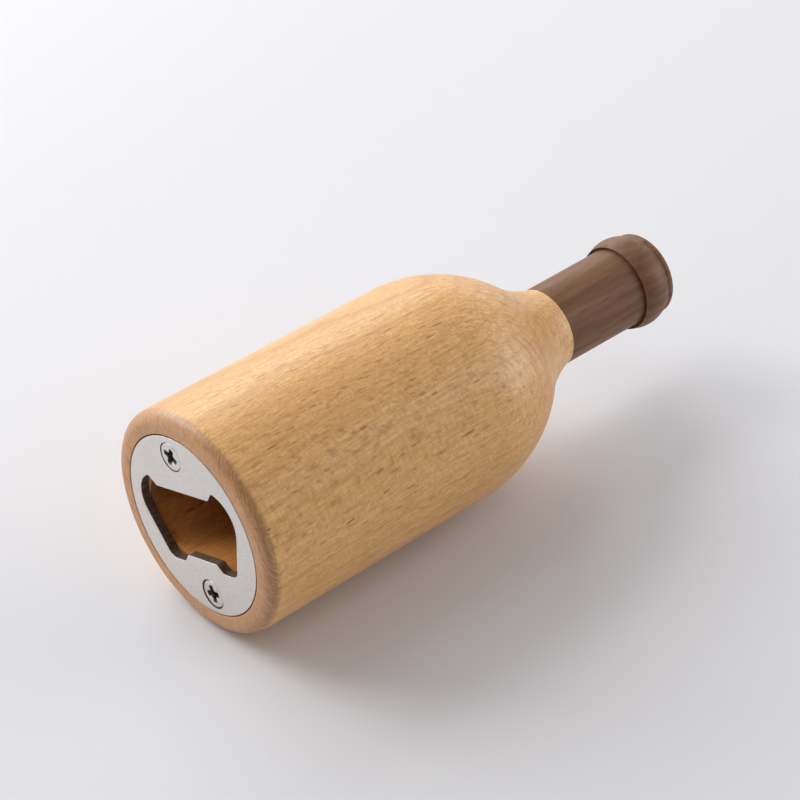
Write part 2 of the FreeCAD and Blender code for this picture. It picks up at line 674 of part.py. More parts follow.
# Thread: one ridge wound round the core.
ridge = sketch_on(screw, "ThreadRidge", "XY_Plane")
y0 = ts + 0.35
ids = chain(
    ridge,
    [
        line((cor - 0.15, y0 - 0.36), (sr, y0 - 0.05)),
        line((sr, y0 - 0.05), (sr, y0 + 0.05)),
        line((sr, y0 + 0.05), (cor - 0.15, y0 + 0.36)),
        line((cor - 0.15, y0 + 0.36), (cor - 0.15, y0 - 0.36)),
    ],
)
helix = screw.newObject("PartDesign::AdditiveHelix", "Thread")
helix.Profile = ridge
helix.ReferenceAxis = (ridge, ["V_Axis"])
helix.Mode = 0
helix.Pitch = D["thread_pitch"]
helix.Height = 8.1
helix.Angle = 0
helix.LeftHanded = False
helix.Reversed = False
helix.setExpression("Pitch", "Dims.thread_pitch")
helix.setExpression("Height", "6 * Dims.thread_pitch")
ridge.Visibility = False
doc.recompute()
print("screw volume before thread %.3f, after %.3f" % (volume, screw.Shape.Volume))
if screw.Shape.Volume < volume + 3.0:
    raise RuntimeError("the thread added no material")

# Both screws are the same piece, each with its recess left at its own angle.
turn = math.radians(D["plate_turn"])
pair = []
for name, sign, cross_angle in (("UpperScrew", 1, -32.0), ("LowerScrew", -1, 3.0)):
    link = doc.addObject("App::Link", name)
    link.LinkedObject = screw
    link.LinkTransform = False
    off = sign * D["screw_offset"]
    link.Placement = App.Placement(
        V(
            -off * math.sin(turn),
            D["head_recess"] - D["total_length"] / 2.0,
            off * math.cos(turn) + D["body_radius"],
        ),
        App.Rotation(V(0, -1, 0), D["plate_turn"] + cross_angle),
    )
    pair.append(link)
screws = doc.addObject("Part::Compound", "plate_screws")
screws.Label = "plate_screws"
screws.Links = pair

# ---------------------------------------------------------------- check and write
doc.recompute()
for obj in doc.Objects:
    if "Invalid" in obj.State or "Error" in obj.State:
        raise RuntimeError("%s is %s" % (obj.Name, obj.State))
os.makedirs("parts", exist_ok=True)
nodes = [("beech_body", beech), ("walnut_neck", neck), ("opener_plate", plate), ("plate_screws", screws)]
for name, obj in nodes:
    shape = obj.Shape
    if shape.isNull() or not shape.isValid():
        raise RuntimeError(name + " has no valid shape")
    box = shape.BoundBox
    print(
        "%-13s solids %d  volume %.1f mm3  box x %.3f..%.3f y %.3f..%.3f z %.3f..%.3f"
        % (name, len(shape.Solids), shape.Volume, box.XMin, box.XMax, box.YMin, box.YMax, box.ZMin, box.ZMax)
    )
for name, obj in nodes:
    obj.Shape.exportStep(os.path.join("parts", name + ".step"))
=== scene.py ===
import math

import bmesh
import bpy
from mathutils import Matrix, Vector
from mathutils.geometry import delaunay_2d_cdt


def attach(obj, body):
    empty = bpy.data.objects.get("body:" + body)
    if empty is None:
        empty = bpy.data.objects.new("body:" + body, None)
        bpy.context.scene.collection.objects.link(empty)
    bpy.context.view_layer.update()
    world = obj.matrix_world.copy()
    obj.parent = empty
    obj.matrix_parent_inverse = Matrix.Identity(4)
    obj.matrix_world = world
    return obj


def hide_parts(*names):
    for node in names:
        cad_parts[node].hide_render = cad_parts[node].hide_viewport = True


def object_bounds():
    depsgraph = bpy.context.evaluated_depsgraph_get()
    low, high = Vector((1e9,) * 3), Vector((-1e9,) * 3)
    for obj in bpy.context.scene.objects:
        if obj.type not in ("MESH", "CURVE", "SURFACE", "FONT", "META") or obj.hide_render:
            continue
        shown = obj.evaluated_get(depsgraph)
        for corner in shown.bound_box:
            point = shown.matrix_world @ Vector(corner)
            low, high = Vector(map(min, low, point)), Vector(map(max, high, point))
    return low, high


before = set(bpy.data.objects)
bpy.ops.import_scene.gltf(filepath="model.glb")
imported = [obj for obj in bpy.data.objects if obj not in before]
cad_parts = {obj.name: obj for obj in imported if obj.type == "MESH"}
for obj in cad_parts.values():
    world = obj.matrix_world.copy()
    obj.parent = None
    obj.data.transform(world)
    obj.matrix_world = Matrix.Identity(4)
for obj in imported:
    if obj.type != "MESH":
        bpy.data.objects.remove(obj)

cad_lo, cad_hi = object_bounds()
MM = 0.001
Y0 = cad_lo.y / MM
ZC = (cad_lo.z + cad_hi.z) / 2 / MM
TURN = math.radians(21.5)
PI = math.pi


# ------------------------------------------------------------------ mesh helpers
def plate_xz(h, w):
    """Plate axes (h across, w up) to x and z."""
    return (h * math.cos(TURN) - w * math.sin(TURN), h * math.sin(TURN) + w * math.cos(TURN))


def arc(cx, cy, r, a0, a1, n):
    return [(cx + r * math.cos(a0 + (a1 - a0) * i / n), cy + r * math.sin(a0 + (a1 - a0) * i / n)) for i in range(n + 1)]


def line(x0, y0, x1, y1, n):
    return [(x0 + (x1 - x0) * i / n, y0 + (y1 - y0) * i / n) for i in range(n + 1)]


def join(*runs):
    """One list of points from several runs, with repeated ends dropped."""
    out = []
    for run in runs:
        for p in run:
            if not out or math.hypot(p[0] - out[-1][0], p[1] - out[-1][1]) > 0.01:
                out.append(p)
    return out


def circle(cx, cy, r, n):
    return [(cx + r * math.cos(2 * PI * k / n), cy + r * math.sin(2 * PI * k / n)) for k in range(n)]


def offset(loop, d):
    """A closed clockwise loop moved outwards by d."""
    out, n = [], len(loop)
    for i in range(n):
        ax, ay = loop[i - 1]
        bx, by = loop[(i + 1) % n]
        tx, ty = bx - ax, by - ay
        t = math.hypot(tx, ty)
        out.append((loop[i][0] - ty / t * d, loop[i][1] + tx / t * d))
    return out


def inside(p, loop):
    x, y = p
    hit = False
    j = len(loop) - 1
    for i in range(len(loop)):
        xi, yi = loop[i]
        xj, yj = loop[j]
        if (yi > y) != (yj > y) and x < (xj - xi) * (y - yi) / (yj - yi) + xi:
            hit = not hit
        j = i
    return hit


class Shape:
    def __init__(self):
        self.v, self.f, self.m = [], [], []

    def add(self, points):
        first = len(self.v)
        self.v.extend(points)
        return list(range(first, first + len(points)))

    def between(self, a, b, mat=0):
        n = len(a)
        for k in range(n):
            j = (k + 1) % n
            self.f.append((a[k], a[j], b[j], b[k]))
            self.m.append(mat)

    def loft(self, loops, mat=0):
        """loops: closed loops of (x, s, z), each with the same number of points."""
        rows = [self.add(l) for l in loops]
        for a, b in zip(rows, rows[1:]):
            self.between(a, b, mat)
        return rows

    def fan(self, row, centre, mat=0):
        (c,) = self.add([centre])
        n = len(row)
        for k in range(n):
            self.f.append((row[k], row[(k + 1) % n], c))
            self.m.append(mat)

    def flat(self, outer, holes, s, mat=0, grid=0.0):
        """A flat face at station s between closed loops of (x, z)."""
        loops = [outer] + list(holes)
        pts, edges = [], []
        for l in loops:
            b = len(pts)
            pts += [Vector(p) for p in l]
            edges += [(b + i, b + (i + 1) % len(l)) for i in range(len(l))]
        if grid:
            xs = [p[0] for p in outer]
            zs = [p[1] for p in outer]
            nx, nz = int((max(xs) - min(xs)) / grid), int((max(zs) - min(zs)) / grid)
            for i in range(1, nx):
                for j in range(1, nz):
                    p = (min(xs) + i * grid + (j % 2) * grid * 0.5, min(zs) + j * grid)
                    if not inside(p, outer) or any(inside(p, h) for h in holes):
                        continue
                    if min(math.hypot(p[0] - q[0], p[1] - q[1]) for l in loops for q in l) > grid * 0.45:
                        pts.append(Vector(p))
        co, _, tris, _, _, _ = delaunay_2d_cdt(pts, edges, [], 0, 1e-7)
        ids = self.add([(p.x, s, p.y) for p in co])
        for t in tris:
            c = (sum(co[i].x for i in t) / len(t), sum(co[i].y for i in t) / len(t))
            if inside(c, outer) and not any(inside(c, h) for h in holes):
                self.f.append(tuple(ids[i] for i in t))
                self.m.append(mat)


def turned(profile, n):
    """Rows of a turned surface from (r, s) points."""
    return [[(r * math.cos(2 * PI * k / n), s, r * math.sin(2 * PI * k / n)) for k in range(n)] for r, s in profile]


def piece(name, shape, materials, node, sharp):
    me = bpy.data.meshes.new(name)
    me.from_pydata([(x * MM, (s + Y0) * MM, (z + ZC) * MM) for x, s, z in shape.v], [], shape.f)
    for p, m in zip(me.polygons, shape.m):
        p.material_index = m
    bm = bmesh.new()
    bm.from_mesh(me)
    bmesh.ops.remove_doubles(bm, verts=bm.verts, dist=1e-6)
    bmesh.ops.recalc_face_normals(bm, faces=bm.faces)
    loose = sum(1 for e in bm.edges if not e.is_manifold)
    print("piece", name, "faces", len(bm.faces), "open edges", loose, "volume mm3", round(bm.calc_volume() * 1e9, 1))
    bm.to_mesh(me)
    bm.free()
    me.polygons.foreach_set("use_smooth", [True] * len(me.polygons))
    me.set_sharp_from_angle(angle=math.radians(sharp))
    for m in materials:
        me.materials.append(m)
    ob = bpy.data.objects.new(name, me)
    bpy.context.scene.collection.objects.link(ob)
    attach(ob, "root")
    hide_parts(node)
    return ob


# ------------------------------------------------------------------ node helpers
class Tree:
    """Small helper for a material's nodes; every call returns an output socket."""

    def __init__(self, name):
        self.mat = bpy.data.materials.new(name)
        self.mat.use_nodes = True
        self.nt = self.mat.node_tree
        self.nt.nodes.clear()
        self.out = self.nt.nodes.new("ShaderNodeOutputMaterial")

    def put(self, socket, value):
        if isinstance(value, bpy.types.NodeSocket):
            self.nt.links.new(value, socket)
        elif value is not None:
            socket.default_value = value

    def node(self, kind, inputs=None, **props):
        n = self.nt.nodes.new(kind)
        for k, v in props.items():
            setattr(n, k, v)
        for k, v in (inputs or {}).items():
            self.put(n.inputs[k], v)
        return n

    def math(self, op, a, b=None, c=None, clamp=False):
        n = self.node("ShaderNodeMath", operation=op, use_clamp=clamp)
        for i, v in enumerate((a, b, c)):
            if v is not None:
                self.put(n.inputs[i], v)
        return n.outputs[0]

    def vec(self, op, a, b=None, scale=None):
        n = self.node("ShaderNodeVectorMath", operation=op)
        self.put(n.inputs[0], a)
        if b is not None:
            self.put(n.inputs[1], b)
        if scale is not None:
            self.put(n.inputs["Scale"], scale)
        return n.outputs["Value"] if op in ("LENGTH", "DOT_PRODUCT", "DISTANCE") else n.outputs["Vector"]

    def xyz(self, v):
        n = self.node("ShaderNodeSeparateXYZ", {0: v})
        return n.outputs

    def combine(self, x, y, z):
        return self.node("ShaderNodeCombineXYZ", {0: x, 1: y, 2: z}).outputs[0]

    def noise(self, v, scale=1.0, detail=2.0, rough=0.5, distortion=0.0):
        return self.node("ShaderNodeTexNoise", {"Vector": v, "Scale": scale, "Detail": detail, "Roughness": rough, "Distortion": distortion}).outputs["Fac"]

    def noise_colour(self, v, scale=1.0, detail=2.0):
        return self.node("ShaderNodeTexNoise", {"Vector": v, "Scale": scale, "Detail": detail}).outputs["Color"]

    def span(self, v, a, b, c=0.0, d=1.0, smooth=True):
        n = self.node("ShaderNodeMapRange", interpolation_type="SMOOTHSTEP" if smooth else "LINEAR")
        for i, x in enumerate((v, a, b, c, d)):
            self.put(n.inputs[i], x)
        return n.outputs[0]

    def ramp(self, fac, stops):
        n = self.node("ShaderNodeValToRGB", {0: fac})
        el = n.color_ramp.elements
        while len(el) < len(stops):
            el.new(0.5)
        for e, (p, c) in zip(el, stops):
            e.position = p
            e.color = (*c, 1) if len(c) == 3 else c
        return n.outputs[0]

    def mix(self, fac, a, b, blend="MIX"):
        n = self.node("ShaderNodeMix", data_type="RGBA", blend_type=blend, clamp_factor=True)
        for i, v in ((0, fac), (6, a), (7, b)):
            if isinstance(v, tuple) and len(v) == 3:
                v = (*v, 1)
            self.put(n.inputs[i], v)
        return n.outputs[2]

    def bump(self, height, strength, distance, normal=None):
        n = self.node("ShaderNodeBump", {"Strength": strength, "Distance": distance, "Height": height})
        if normal is not None:
            self.put(n.inputs["Normal"], normal)
        return n.outputs[0]

    def shade(self, **inputs):
        n = self.node("ShaderNodeBsdfPrincipled", {k.replace("_", " "): v for k, v in inputs.items()})
        self.nt.links.new(n.outputs[0], self.out.inputs[0])
        return self.mat


def lin(r, g, b):
    """Screen colour 0..255 to linear."""
    def f(c):
        c /= 255
        return c / 12.92 if c <= 0.04045 else ((c + 0.055) / 1.055) ** 2.4
    return (f(r), f(g), f(b))


def wood_space(t, turn, lean, wander):
    """Millimetre coordinates with z along the tree's radius and y along the grain."""
    tex = t.node("ShaderNodeTexCoord").outputs["Object"]
    m = t.node("ShaderNodeMapping", {"Vector": tex, "Location": (0, 0, 0), "Rotation": (lean[0], turn, lean[1]), "Scale": (1000, 1000, 1000)}, vector_type="POINT")
    p = m.outputs[0]
    x, y, z = t.xyz(p)[:3]
    slow = t.combine(t.math("MULTIPLY", x, 0.05), t.math("MULTIPLY", y, 0.013), t.math("MULTIPLY", z, 0.05))
    drift = t.vec("SUBTRACT", t.noise_colour(slow, 1.0, 2.0), (0.5, 0.5, 0.5))
    drift = t.vec("MULTIPLY", drift, (wander, 0.0, wander))
    return t.vec("ADD", p, drift)


def cells(t, p, size, body, seed):
    """Long lens-shaped cells: one per size box, with half-lengths body. Returns (mask, random)."""
    q = t.vec("ADD", t.vec("DIVIDE", p, size), seed)
    v = t.node("ShaderNodeTexVoronoi", {"Vector": q, "Scale": 1.0, "Randomness": 1.0}, voronoi_dimensions="3D", feature="F1")
    d = t.vec("SUBTRACT", q, v.outputs["Position"])
    d = t.vec("MULTIPLY", d, tuple(s / b for s, b in zip(size, body)))
    rnd = t.xyz(v.outputs["Color"])
    reach = t.math("MULTIPLY_ADD", rnd[0], 0.75, 0.45)
    n = t.math("DIVIDE", t.vec("LENGTH", d), reach)
    return n, rnd


def beech(name, tone=(1.0, 1.0, 1.0), gloss=(0.31, 0.43), level=0.60):
    """Beech as a solid texture: growth rings, fibres, and rays that show as dashes on a
    tangential surface and as wide flecks on a radial one."""
    t = Tree(name)
    p = wood_space(t, math.radians(BEECH_TURN), (0.0, math.radians(1.2)), 5.0)
    x, y, z = t.xyz(p)[:3]
    # growth rings about a pith far below the work
    rho = t.vec("LENGTH", t.combine(t.math("ADD", x, -14.0), 0.0, t.math("ADD", z, 78.0)))
    wob = t.noise(t.combine(t.math("MULTIPLY", x, 0.06), t.math("MULTIPLY", y, 0.02), t.math("MULTIPLY", z, 0.06)), 1.0, 2.0)
    rr = t.math("ADD", t.math("DIVIDE", rho, 2.7), t.math("MULTIPLY", wob, 2.4))
    ring = t.math("FRACT", rr)
    late = t.ramp(ring, [(0.0, (0.55, 0.55, 0.55)), (0.10, (0, 0, 0)), (0.55, (0.10, 0.10, 0.10)), (0.88, (0.8, 0.8, 0.8)), (1.0, (1, 1, 1))])
    ringn = t.noise(t.combine(t.math("FLOOR", rr), 0.0, 0.0), 3.1, 0.0)
    late = t.math("MULTIPLY", late, t.span(ringn, 0.3, 0.7, 0.3, 1.0))
    edge = t.math("MULTIPLY", t.span(ring, 0.72, 0.92), t.span(ring, 0.96, 1.0, 1.0, 0.0))
    # fibres
    fib = t.noise(t.vec("MULTIPLY", p, (2.4, 0.09, 2.4)), 1.0, 4.0, 0.62)
    fine = t.noise(t.vec("MULTIPLY", p, (3.4, 0.20, 3.4)), 1.0, 4.0, 0.78)
    dash = t.noise(t.vec("MULTIPLY", p, (3.2, 0.34, 1.1)), 1.0, 2.0, 0.5)
    cloud = t.noise(t.vec("MULTIPLY", p, (0.05, 0.02, 0.05)), 1.0, 3.0, 0.5)
    # rays: tall thin ribbons that run out from the pith
    big, rb = cells(t, p, (1.35, 5.4, 2.6), (0.15, 2.1, 0.55), (3.1, 7.7, 1.3))
    mid, rm = cells(t, p, (0.86, 3.2, 1.7), (0.125, 1.45, 0.36), (8.4, 2.2, 5.9))
    ray = t.math("MULTIPLY", t.span(big, 0.45, 1.0, 1.0, 0.0), t.span(rb[1], 0.45, 0.95, 0.05, 1.0))
    ray2 = t.math("MULTIPLY", t.span(mid, 0.55, 1.0, 1.0, 0.0), t.math("MULTIPLY_ADD", rm[1], 0.85, 0.10))
    streak = t.span(t.noise(t.vec("MULTIPLY", p, (3.6, 0.42, 0.22)), 1.0, 2.0, 0.55), 0.54, 0.72)
    mottle = t.noise(t.vec("MULTIPLY", p, (2.6, 1.7, 0.24)), 1.0, 3.0, 0.6)
    # end grain shows where the surface turns across the axis
    ny = t.xyz(t.node("ShaderNodeNewGeometry").outputs["Normal"])[1]
    cross_cut = t.math("ABSOLUTE", ny)
    end = t.span(cross_cut, 0.30, 0.95, 0.0, 1.0)
    foot = t.math("MULTIPLY", ny, -1.0)
    skew = t.math("MULTIPLY", t.span(foot, 0.08, 0.45), t.span(foot, 0.60, 0.99, 1.0, 0.0))
    neck_side = t.span(ny, 0.2, 0.6, 1.0, 0.35)
    shoulder = t.span(ny, 0.12, 0.5)
    arcs = t.noise(t.vec("MULTIPLY", p, (2.2, 0.34, 0.07)), 1.0, 2.0, 0.55)
    whole = t.math("SUBTRACT", 1.0, t.math("MULTIPLY", end, 0.45))
    base = t.mix(t.span(cloud, 0.3, 0.7), BEECH_A, BEECH_B)
    col = t.mix(t.math("MULTIPLY", late, 0.42), base, BEECH_LATE)
    col = t.mix(t.math("MULTIPLY", edge, t.span(ringn, 0.35, 0.65, 0.12, 0.48)), col, BEECH_LATE)
    col = t.mix(t.span(fib, 0.3, 0.75, 0.0, 0.45), col, BEECH_FIBRE)
    col = t.mix(t.span(fine, 0.42, 0.62, 0.0, 0.75), col, BEECH_FIBRE)
    col = t.mix(t.span(fine, 0.56, 0.70, 0.0, 0.40), col, BEECH_STREAK)
    col = t.mix(t.span(dash, 0.58, 0.70, 0.0, 0.50), col, BEECH_STREAK)
    col = t.mix(t.span(mottle, 0.42, 0.66, 0.0, 0.62), col, BEECH_FIBRE)
    col = t.mix(t.math("MULTIPLY", streak, 0.42), col, BEECH_STREAK)
    col = t.mix(t.math("MULTIPLY", t.math("MULTIPLY", ray2, whole), 0.74), col, BEECH_RAY)
    col = t.mix(t.math("MULTIPLY", t.math("MULTIPLY", ray, whole), 0.72), col, BEECH_RAY)
    col = t.mix(t.math("MULTIPLY", t.math("MULTIPLY", end, neck_side), 0.62), col, BEECH_END)
    col = t.mix(t.math("MULTIPLY", t.span(arcs, 0.50, 0.66), t.math("MULTIPLY", shoulder, 0.50)), col, BEECH_STREAK)
    # open vessel ends: fine dark points on end grain, drawn out where the cut is skew
    vessel = t.noise(t.vec("MULTIPLY", p, (4.6, 1.1, 3.2)), 1.0, 3.0, 0.75)
    vline = t.noise(t.vec("MULTIPLY", p, (4.4, 0.5, 0.30)), 1.0, 3.0, 0.65)
    opened = t.math("MULTIPLY", end, neck_side)
    col = t.mix(t.math("MULTIPLY", t.span(vessel, 0.46, 0.70), t.math("MULTIPLY", opened, 0.42)), col, BEECH_SKEW)
    col = t.mix(t.math("MULTIPLY", t.span(vline, 0.45, 0.66), t.math("MULTIPLY", opened, 0.50)), col, BEECH_SKEW)
    col = t.mix(t.math("MULTIPLY", skew, t.span(vline, 0.34, 0.62, 0.26, 0.62)), col, BEECH_SKEW)
    # Milled cavity only: the tone darkens and saturates the cut wood, and the dark cavity colour below is partly
    # painted shade.
    if tone != (1.0, 1.0, 1.0):
        col = t.mix(1.0, col, tone, "MULTIPLY")
        # end walls of the cavity: end grain darkened further with the dark cavity colour as painted shade
        col = t.mix(t.math("MULTIPLY", end, 0.62), col, CAVITY_END_AND_SHADE)
        height = t.xyz(t.node("ShaderNodeTexCoord").outputs["Object"])[2]
        # painted shade: cavity walls turn darker from 16 mm height upward to 22.5 mm and above, where light through the
        # opening does not reach
        col = t.mix(t.span(height, 0.0160, 0.0225, 0.0, 0.72), col, CAVITY_END_AND_SHADE)
    rough = t.math("ADD", t.span(fine, 0.3, 0.7, gloss[0], gloss[1]), t.math("MULTIPLY", end, 0.08))
    height = t.math("SUBTRACT", t.math("ADD", t.math("MULTIPLY", fine, 0.5), t.math("MULTIPLY", mottle, 0.2)), t.math("ADD", t.math("MULTIPLY", ray, 0.5), t.math("MULTIPLY", ray2, 0.3)))
    n = t.bump(height, 0.45, 0.00006)
    return t.shade(Base_Color=col, Roughness=rough, Specular_IOR_Level=level, Normal=n)


def walnut():
    t = Tree("oiled_walnut")
    p = wood_space(t, math.radians(55), (math.radians(0.6), math.radians(-1.5)), 4.0)
    x, y, z = t.xyz(p)[:3]
    rho = t.vec("LENGTH", t.combine(t.math("ADD", x, 9.0), 0.0, t.math("ADD", z, 60.0)))
    wob = t.noise(t.combine(t.math("MULTIPLY", x, 0.15), t.math("MULTIPLY", y, 0.03), t.math("MULTIPLY", z, 0.15)), 1.0, 3.0)
    band = t.noise(t.combine(t.math("ADD", t.math("MULTIPLY", rho, 0.55), t.math("MULTIPLY", wob, 1.5)), 0.0, 0.0), 1.0, 3.0, 0.6)
    fib = t.noise(t.vec("MULTIPLY", p, (0.75, 0.045, 0.75)), 1.0, 4.0, 0.55)
    fine = t.noise(t.vec("MULTIPLY", p, (8.0, 0.4, 8.0)), 1.0, 3.0, 0.6)
    pore, rp = cells(t, p, (0.95, 4.2, 0.95), (0.10, 1.7, 0.10), (1.7, 9.1, 4.4))
    hole = t.math("MULTIPLY", t.span(pore, 0.5, 1.0, 1.0, 0.0), t.math("MULTIPLY_ADD", rp[1], 0.5, 0.5))
    ny = t.xyz(t.node("ShaderNodeNewGeometry").outputs["Normal"])[1]
    end = t.span(ny, 0.5, 0.98, 0.0, 1.0)
    col = t.mix(t.span(band, 0.35, 0.65), WALNUT_A, WALNUT_B)
    col = t.mix(t.span(fib, 0.38, 0.72, 0.0, 0.44), col, WALNUT_DARK)
    col = t.mix(t.span(fine, 0.4, 0.8, 0.0, 0.3), col, WALNUT_DARK)
    col = t.mix(t.math("MULTIPLY", hole, 0.75), col, WALNUT_PORE)
    col = t.mix(t.math("MULTIPLY", end, 0.35), col, WALNUT_DARK)
    height = t.math("SUBTRACT", t.math("MULTIPLY", fine, 0.4), hole)
    n = t.bump(height, 0.4, 0.00006)
    rough = t.span(fib, 0.3, 0.7, 0.42, 0.54)
    return t.shade(Base_Color=col, Roughness=rough, Specular_IOR_Level=0.28, Normal=n)


def brushed_plate():
    t = Tree("brushed_stainless")
    tex = t.node("ShaderNodeTexCoord").outputs["Object"]
    m = t.node("ShaderNodeMapping", {"Vector": tex, "Rotation": (0, math.radians(BRUSH_TURN), 0), "Scale": (1000, 1000, 1000)}, vector_type="POINT").outputs[0]
    lines = t.noise(t.vec("MULTIPLY", m, (0.9, 1.0, 6.0)), 1.0, 5.0, 0.78)
    long = t.noise(t.vec("MULTIPLY", m, (0.03, 1.0, 2.2)), 1.0, 3.0, 0.6)
    blot = t.noise(t.vec("MULTIPLY", m, (0.12, 0.12, 0.12)), 1.0, 3.0)
    col = t.mix(t.span(lines, 0.3, 0.7), STEEL_A, STEEL_B)
    col = t.mix(t.span(long, 0.35, 0.7, 0.0, 0.3), col, STEEL_B)
    rough = t.math("ADD", t.span(lines, 0.3, 0.7, 0.32, 0.44), t.math("MULTIPLY", blot, 0.08))
    n = t.bump(t.math("ADD", lines, t.math("MULTIPLY", long, 0.4)), 0.18, 0.00002)
    return t.shade(Base_Color=col, Metallic=1.0, Roughness=rough, Normal=n)


def cut_steel(name, light, mid, dark):
    """Rough cut metal, darker than the brushed face: the plate's sheared walls, whose warm brown tint is a painted
    reflection of the beech around them.
    With near-black colours it also paints the screws' driver recesses and the plate's countersink walls, where the dark
    is painted shade."""
    t = Tree(name)
    tex = t.node("ShaderNodeTexCoord").outputs["Object"]
    p = t.vec("MULTIPLY", tex, (1000, 1000, 1000))
    drag = t.noise(t.vec("MULTIPLY", p, (3.0, 0.5, 3.0)), 1.0, 4.0, 0.7)
    patch = t.noise(t.vec("MULTIPLY", p, (0.7, 0.7, 0.7)), 1.0, 4.0, 0.6)
    col = t.mix(t.span(drag, 0.3, 0.7), light, mid)
    col = t.mix(t.span(patch, 0.45, 0.75, 0.0, 0.6), col, dark)
    rough = t.span(drag, 0.3, 0.7, 0.45, 0.7)
    n = t.bump(drag, 0.6, 0.00006)
    return t.shade(Base_Color=col, Metallic=0.85, Roughness=rough, Normal=n)


def screw_metal():
    t = Tree("turned_screw_steel")
    tex = t.node("ShaderNodeTexCoord").outputs["Object"]
    p = t.vec("MULTIPLY", tex, (1000, 1000, 1000))
    blot = t.noise(p, 0.9, 4.0, 0.6)
    grit = t.noise(p, 7.0, 3.0, 0.6)
    col = t.mix(t.span(blot, 0.3, 0.7), SCREW_A, SCREW_B)
    rough = t.span(grit, 0.3, 0.7, 0.22, 0.36)
    n = t.bump(grit, 0.15, 0.00002)
    return t.shade(Base_Color=col, Metallic=1.0, Roughness=rough, Normal=n)


def floor_paper():
    t = Tree("pale_floor")
    tex = t.node("ShaderNodeTexCoord").outputs["Object"]
    soft = t.noise(t.vec("MULTIPLY", tex, (4.0, 4.0, 4.0)), 1.0, 2.0)
    col = t.mix(soft, FLOOR_A, FLOOR_B)
    return t.shade(Base_Color=col, Roughness=0.75, Specular_IOR_Level=0.2)


# ------------------------------------------------------------------ colours
BEECH_TURN = 33.0
BEECH_A = lin(249, 201, 135)
BEECH_B = lin(242, 192, 124)
BEECH_LATE = lin(202, 146, 84)
BEECH_FIBRE = lin(209, 155, 94)
BEECH_RAY = lin(146, 86, 38)
BEECH_STREAK = lin(176, 118, 62)
BEECH_END = lin(200, 146, 108)
BEECH_SKEW = lin(138, 88, 52)
# dark brown for the milled cavity: painted shade on its upper walls, and end grain deepened with painted shade
CAVITY_END_AND_SHADE = lin(84, 46, 20)
WALNUT_A = lin(138, 99, 70)
WALNUT_B = lin(120, 85, 60)
WALNUT_DARK = lin(80, 52, 36)
WALNUT_PORE = lin(40, 27, 22)
BRUSH_TURN = 31.0
STEEL_A = lin(232, 228, 223)
STEEL_B = lin(216, 211, 205)
# Sheared wall colours: darker than the face as a rough cut edge; their warm brown tint is a painted reflection of the
# surrounding beech.
CUT_A = lin(152, 130, 112)
CUT_B = lin(106, 86, 70)
CUT_C = lin(78, 54, 40)
# near-black browns for the screws' driver recesses and the countersink walls: painted shade in the recesses and in the
# gap round the heads
RECESS_SHADE_A = lin(96, 82, 70)
RECESS_SHADE_B = lin(52, 44, 38)
RECESS_SHADE_C = lin(30, 26, 22)
SCREW_A = lin(225, 223, 220)
SCREW_B = lin(205, 202, 198)
FLOOR_A = lin(222, 221, 223)
FLOOR_B = lin(220, 219, 221)

oiled_beech = beech("oiled_beech")
# cavity wood: darker tone, with painted shade on its upper walls and end walls
milled_beech_painted_shade = beech("milled_beech_painted_shade", (0.94, 0.68, 0.46), (0.42, 0.58), 0.4)
oiled_walnut = walnut()
stainless = brushed_plate()
# sheared walls: cut-edge grey with a painted warm reflection of the beech
sheared = cut_steel("sheared_steel_edge", CUT_A, CUT_B, CUT_C)
# driver recesses and countersink walls: painted shade
recess = cut_steel("driver_recess_painted_shade", RECESS_SHADE_A, RECESS_SHADE_B, RECESS_SHADE_C)
screw_steel = screw_metal()


# ------------------------------------------------------------------ beech body
def stadium(r, c=6.8, n_end=44, n_side=1):
    """Clockwise milled slot in x and z, turned with the plate."""
    pts = []
    pts += line(-c, r, c, r, n_side)[:-1]
    pts += arc(c, 0, r, PI / 2, -PI / 2, n_end)[:-1]
    pts += line(c, -r, -c, -r, n_side)[:-1]
    pts += arc(-c, 0, r, -PI / 2, -3 * PI / 2, n_end)[:-1]
    return [plate_xz(h, w) for h, w in pts]


N = 320
body = Shape()
profile = join(
    [(20.17, 2.0), (20.17, 1.1)],
    arc(20.39, 0.22, 0.22, PI, 1.5 * PI, 5),
    line(20.39, 0.0, 22.1, 0.0, 3),
    arc(22.1, 2.8, 2.8, -PI / 2, 0.0, 18),
    line(24.9, 2.8, 24.9, 62.0, 30),
    arc(-9.3, 62.0, 34.2, 0.0, 0.7426, 44),
    arc(37.996, 105.4134, 30.0, 3.8842, 3.4137, 22)[1:],
    [(9.1, 97.31), (9.06, 97.35), (7.0, 97.35), (5.2, 97.35), (5.1, 97.45 - 0.2), (5.1, 90.0), (5.1, 80.35)],
)
rows = body.loft(turned(profile, N))
body.fan(rows[-1], (0, 80.35, 0))
HOLES = [plate_xz(0, 15.45), plate_xz(0, -15.45)]
NH = 40
body.flat(
    [(20.17 * math.cos(2 * PI * k / N), 20.17 * math.sin(2 * PI * k / N)) for k in range(N)],
    [stadium(9.8)] + [circle(x, z, 1.6, NH) for x, z in HOLES],
    2.0, grid=1.6,
)
cav = [(9.8, 2.0), (9.72, 2.03), (9.53, 2.22), (9.5, 2.3)] + [(9.5, 2.3 + (23.3 - 2.3) * i / 12) for i in range(1, 13)]
cav += [(8.8 + 0.7 * math.cos(PI / 2 * i / 6), 23.3 + 0.7 * math.sin(PI / 2 * i / 6)) for i in range(1, 7)]
body.loft([[(x, s, z) for x, z in stadium(r)] for r, s in cav], 1)
body.flat(stadium(8.8), [], 24.0, 1, grid=1.6)
for hx, hz in HOLES:
    pil = [(1.6, 2.0), (1.52, 2.08), (1.52, 4.2), (1.05, 4.6), (1.05, 10.0), (1.05, 17.1)]
    r_ = body.loft([[(x, s, z) for x, z in circle(hx, hz, r, NH)] for r, s in pil])
    body.fan(r_[-1], (hx, 17.5, hz))
beech_piece = piece("turned_beech_body", body, [oiled_beech, milled_beech_painted_shade], "beech_body", 38)

